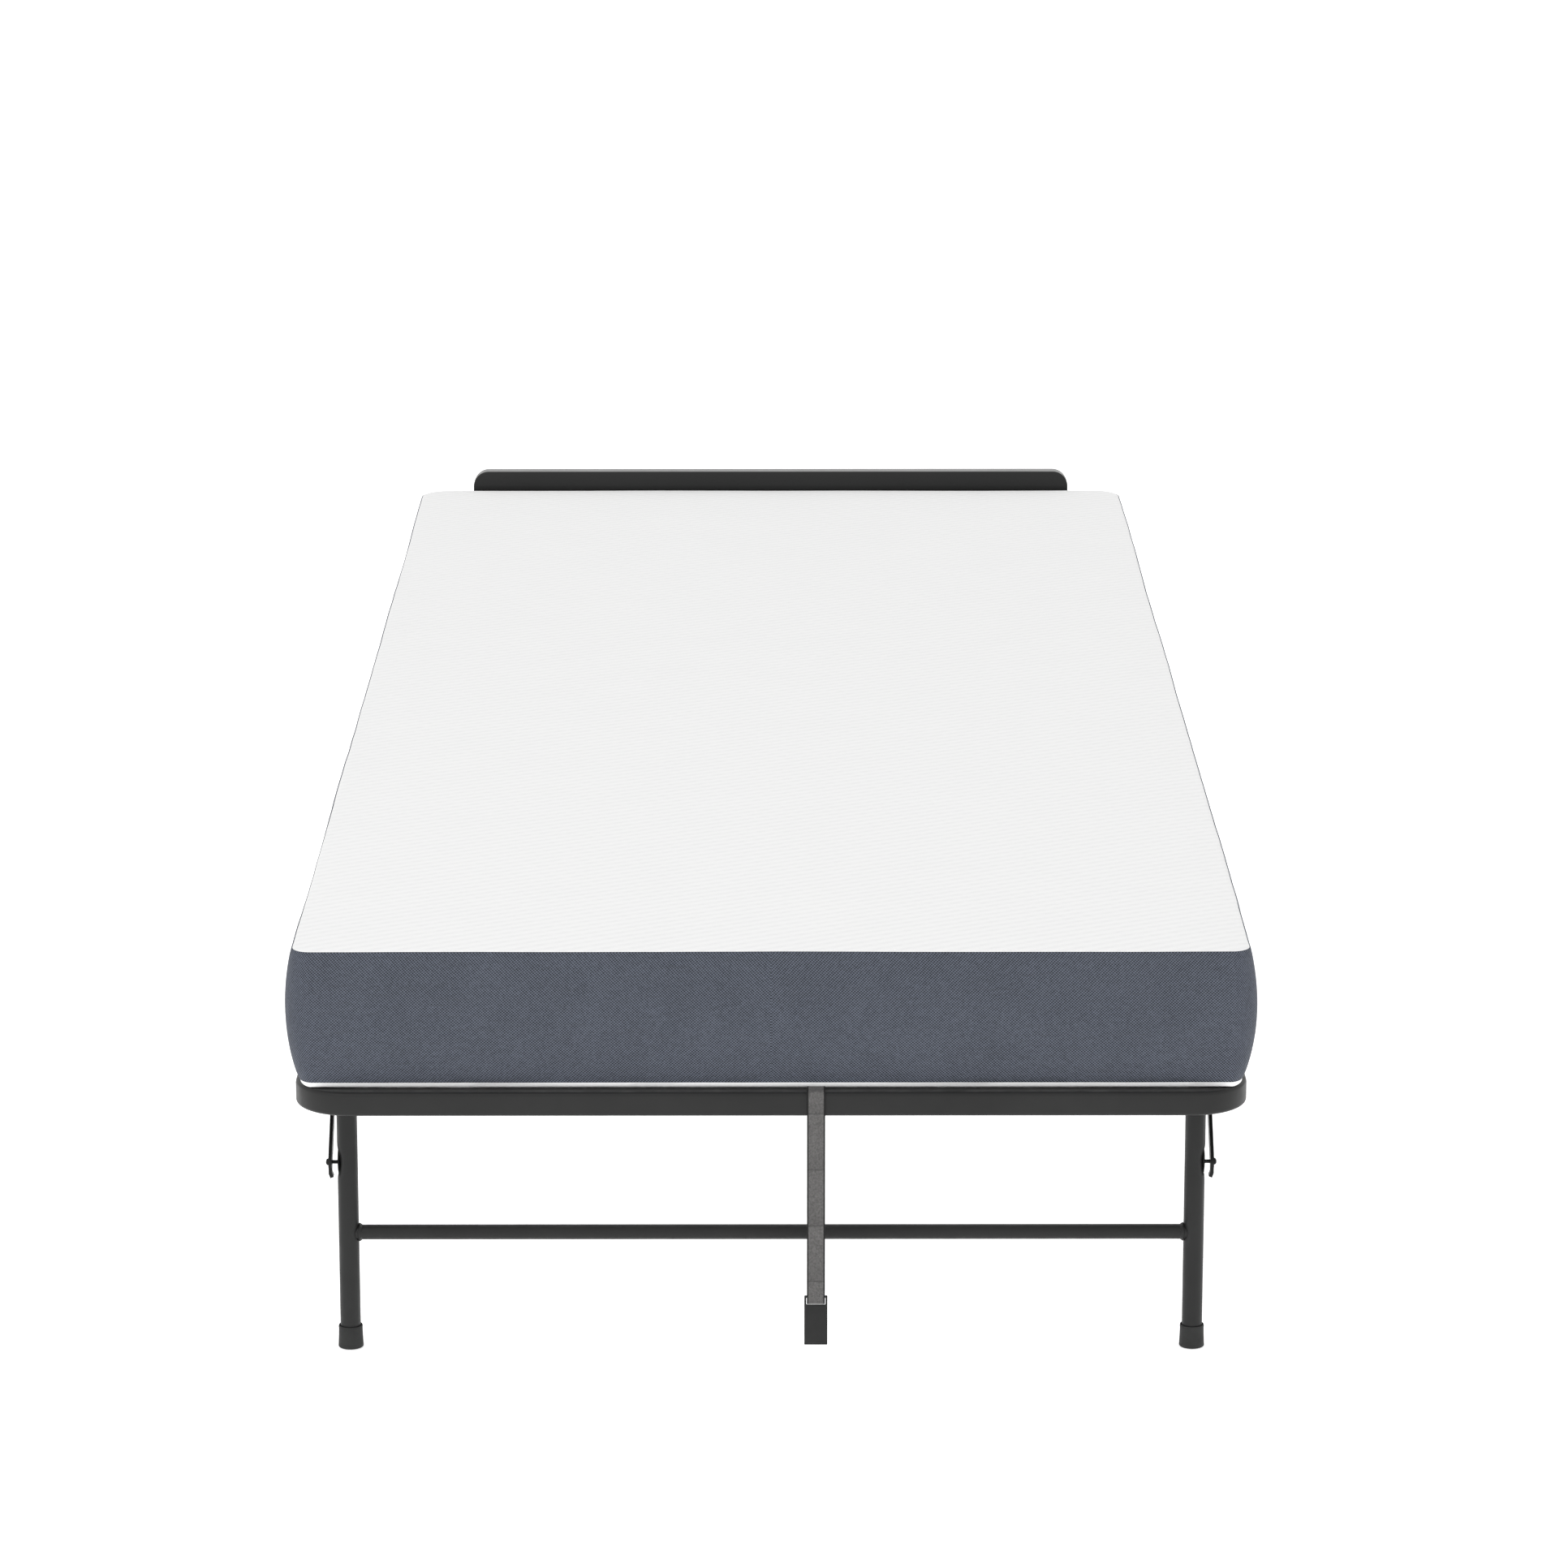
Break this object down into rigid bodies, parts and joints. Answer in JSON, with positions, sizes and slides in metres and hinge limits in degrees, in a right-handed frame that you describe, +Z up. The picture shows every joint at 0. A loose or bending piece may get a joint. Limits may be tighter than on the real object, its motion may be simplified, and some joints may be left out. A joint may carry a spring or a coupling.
{
  "type": "rollaway bed",
  "caption": "Low folding guest bed with a foam mattress, tube decks that fold up from a centre frame on casters, folding legs, a closing strap and a head panel.",
  "frame": {"origin": "on the floor under the middle of the bed", "axes": "+Z up, +Y from the foot end to the head end, +X to the right seen from the foot end"},
  "size_m": [0.788, 1.9421, 0.3764],
  "materials": {
    "frame": "satin",
    "fastener": "satin",
    "zinc": "satin",
    "rubber": "matte",
    "wheel": "matte",
    "webbing": "matte",
    "panel": "satin",
    "mattress": "matte"
  },
  "bodies": {
    "base": {"side_rail_left": "frame", "side_rail_right": "frame", "hinge_plate_left": "frame", "hinge_plate_right": "frame", "center_slat_1": "frame", "center_slat_2": "frame", "caster_post_frame_foot": "frame", "caster_post_frame_head": "frame", "mattress_center": "mattress"},
    "foot_deck": {"foot_deck_frame": "frame", "foot_slat_1": "frame", "foot_slat_2": "frame", "foot_slat_3": "frame", "foot_slat_4": "frame", "foot_hinge_bolt_left": "fastener", "foot_hinge_bolt_right": "fastener", "foot_leg_bracket_left": "frame", "foot_leg_bracket_right": "frame", "mattress_foot": "mattress", "strap_loop": "webbing"},
    "foot_leg": {"foot_leg_frame": "frame", "foot_rubber_foot_left": "rubber", "foot_rubber_foot_right": "rubber", "foot_brace_rivet_left": "fastener", "foot_brace_rivet_right": "fastener"},
    "foot_brace_left_body": {"foot_brace_left": "fastener"},
    "caster_foot_left": {"caster_fork_foot_left": "zinc"},
    "wheel_foot_left": {"caster_wheel_foot_left": "wheel"},
    "foot_brace_right_body": {"foot_brace_right": "fastener"},
    "caster_foot_right": {"caster_fork_foot_right": "zinc"},
    "wheel_foot_right": {"caster_wheel_foot_right": "wheel"},
    "head_deck": {"head_deck_frame": "frame", "head_slat_1": "frame", "head_slat_2": "frame", "head_slat_3": "frame", "head_slat_4": "frame", "head_hinge_bolt_left": "fastener", "head_hinge_bolt_right": "fastener", "head_leg_bracket_left": "frame", "head_leg_bracket_right": "frame", "mattress_head": "mattress", "head_panel": "panel", "panel_bar_left": "frame", "panel_bar_right": "frame"},
    "head_leg": {"head_leg_frame": "frame", "head_rubber_foot_left": "rubber", "head_rubber_foot_right": "rubber", "head_brace_rivet_left": "fastener", "head_brace_rivet_right": "fastener"},
    "head_brace_left_body": {"head_brace_left": "fastener"},
    "caster_head_left": {"caster_fork_head_left": "zinc"},
    "wheel_head_left": {"caster_wheel_head_left": "wheel"},
    "head_brace_right_body": {"head_brace_right": "fastener"},
    "caster_head_right": {"caster_fork_head_right": "zinc"},
    "wheel_head_right": {"caster_wheel_head_right": "wheel"},
    "brake_left": {"brake_pedal_left": "rubber"},
    "brake_right": {"brake_pedal_right": "rubber"},
    "strap": {"strap_tail": "webbing", "strap_buckle": "frame", "strap_hook": "frame"}
  },
  "joints": [
    {"name": "foot_fold", "type": "hinge", "parent": "base", "child": "foot_deck", "pos_m": [0, -0.15, 0.231], "axis": [-1, 0, 0], "range_deg": [0, 90], "deforming": ["mattress_center"]},
    {"name": "foot_leg_fold", "type": "hinge", "parent": "foot_deck", "child": "foot_leg", "pos_m": [0, -0.9005, 0.215], "axis": [1, 0, 0], "range_deg": [0, 78]},
    {"name": "foot_brace_left_turn", "type": "hinge", "parent": "foot_leg", "child": "foot_brace_left_body", "pos_m": [-0.36555, -0.9005, 0.1612], "axis": [1, 0, 0], "range_deg": [-131.62, 0]},
    {"name": "foot_brace_right_turn", "type": "hinge", "parent": "foot_leg", "child": "foot_brace_right_body", "pos_m": [0.36555, -0.9005, 0.1612], "axis": [1, 0, 0], "range_deg": [-131.62, 0]},
    {"name": "head_fold", "type": "hinge", "parent": "base", "child": "head_deck", "pos_m": [0, 0.15, 0.231], "axis": [1, 0, 0], "range_deg": [0, 90], "deforming": ["mattress_center"]},
    {"name": "head_leg_fold", "type": "hinge", "parent": "head_deck", "child": "head_leg", "pos_m": [0, 0.9005, 0.215], "axis": [-1, 0, 0], "range_deg": [0, 78]},
    {"name": "head_brace_left_turn", "type": "hinge", "parent": "head_leg", "child": "head_brace_left_body", "pos_m": [-0.36555, 0.9005, 0.1612], "axis": [-1, 0, 0], "range_deg": [-131.62, 0]},
    {"name": "head_brace_right_turn", "type": "hinge", "parent": "head_leg", "child": "head_brace_right_body", "pos_m": [0.36555, 0.9005, 0.1612], "axis": [-1, 0, 0], "range_deg": [-131.62, 0]},
    {"name": "strap_hang", "type": "hinge", "parent": "foot_deck", "child": "strap", "pos_m": [0.0366, -0.9675, 0.218], "axis": [1, 0, 0], "range_deg": [0, 90], "deforming": ["strap_tail"]},
    {"name": "caster_foot_left_swivel", "type": "hinge", "parent": "base", "child": "caster_foot_left", "pos_m": [-0.3579, -0.095, 0.1], "axis": [0, 0, 1], "continuous": true},
    {"name": "wheel_foot_left_spin", "type": "hinge", "parent": "caster_foot_left", "child": "wheel_foot_left", "pos_m": [-0.3579, -0.077, 0.025], "axis": [1, 0, 0], "continuous": true},
    {"name": "caster_foot_right_swivel", "type": "hinge", "parent": "base", "child": "caster_foot_right", "pos_m": [0.3579, -0.095, 0.1], "axis": [0, 0, 1], "continuous": true},
    {"name": "wheel_foot_right_spin", "type": "hinge", "parent": "caster_foot_right", "child": "wheel_foot_right", "pos_m": [0.3579, -0.077, 0.025], "axis": [1, 0, 0], "continuous": true},
    {"name": "caster_head_left_swivel", "type": "hinge", "parent": "base", "child": "caster_head_left", "pos_m": [-0.3579, 0.095, 0.1], "axis": [0, 0, 1], "continuous": true},
    {"name": "wheel_head_left_spin", "type": "hinge", "parent": "caster_head_left", "child": "wheel_head_left", "pos_m": [-0.3579, 0.113, 0.025], "axis": [1, 0, 0], "continuous": true},
    {"name": "caster_head_right_swivel", "type": "hinge", "parent": "base", "child": "caster_head_right", "pos_m": [0.3579, 0.095, 0.1], "axis": [0, 0, 1], "continuous": true},
    {"name": "wheel_head_right_spin", "type": "hinge", "parent": "caster_head_right", "child": "wheel_head_right", "pos_m": [0.3579, 0.113, 0.025], "axis": [1, 0, 0], "continuous": true},
    {"name": "brake_left_press", "type": "hinge", "parent": "caster_foot_left", "child": "brake_left", "pos_m": [-0.3579, -0.077, 0.05365], "axis": [-1, 0, 0], "range_deg": [0, 12]},
    {"name": "brake_right_press", "type": "hinge", "parent": "caster_foot_right", "child": "brake_right", "pos_m": [0.3579, -0.077, 0.05365], "axis": [-1, 0, 0], "range_deg": [0, 12]}
  ],
  "couplings": [
    {"joint": "foot_brace_left_turn", "follows": "foot_leg_fold", "ratio": -1.6875},
    {"joint": "foot_brace_right_turn", "follows": "foot_leg_fold", "ratio": -1.6875},
    {"joint": "head_brace_left_turn", "follows": "head_leg_fold", "ratio": -1.6875},
    {"joint": "head_brace_right_turn", "follows": "head_leg_fold", "ratio": -1.6875},
    {"joint": "strap_hang", "follows": "foot_fold", "ratio": 1}
  ]
}
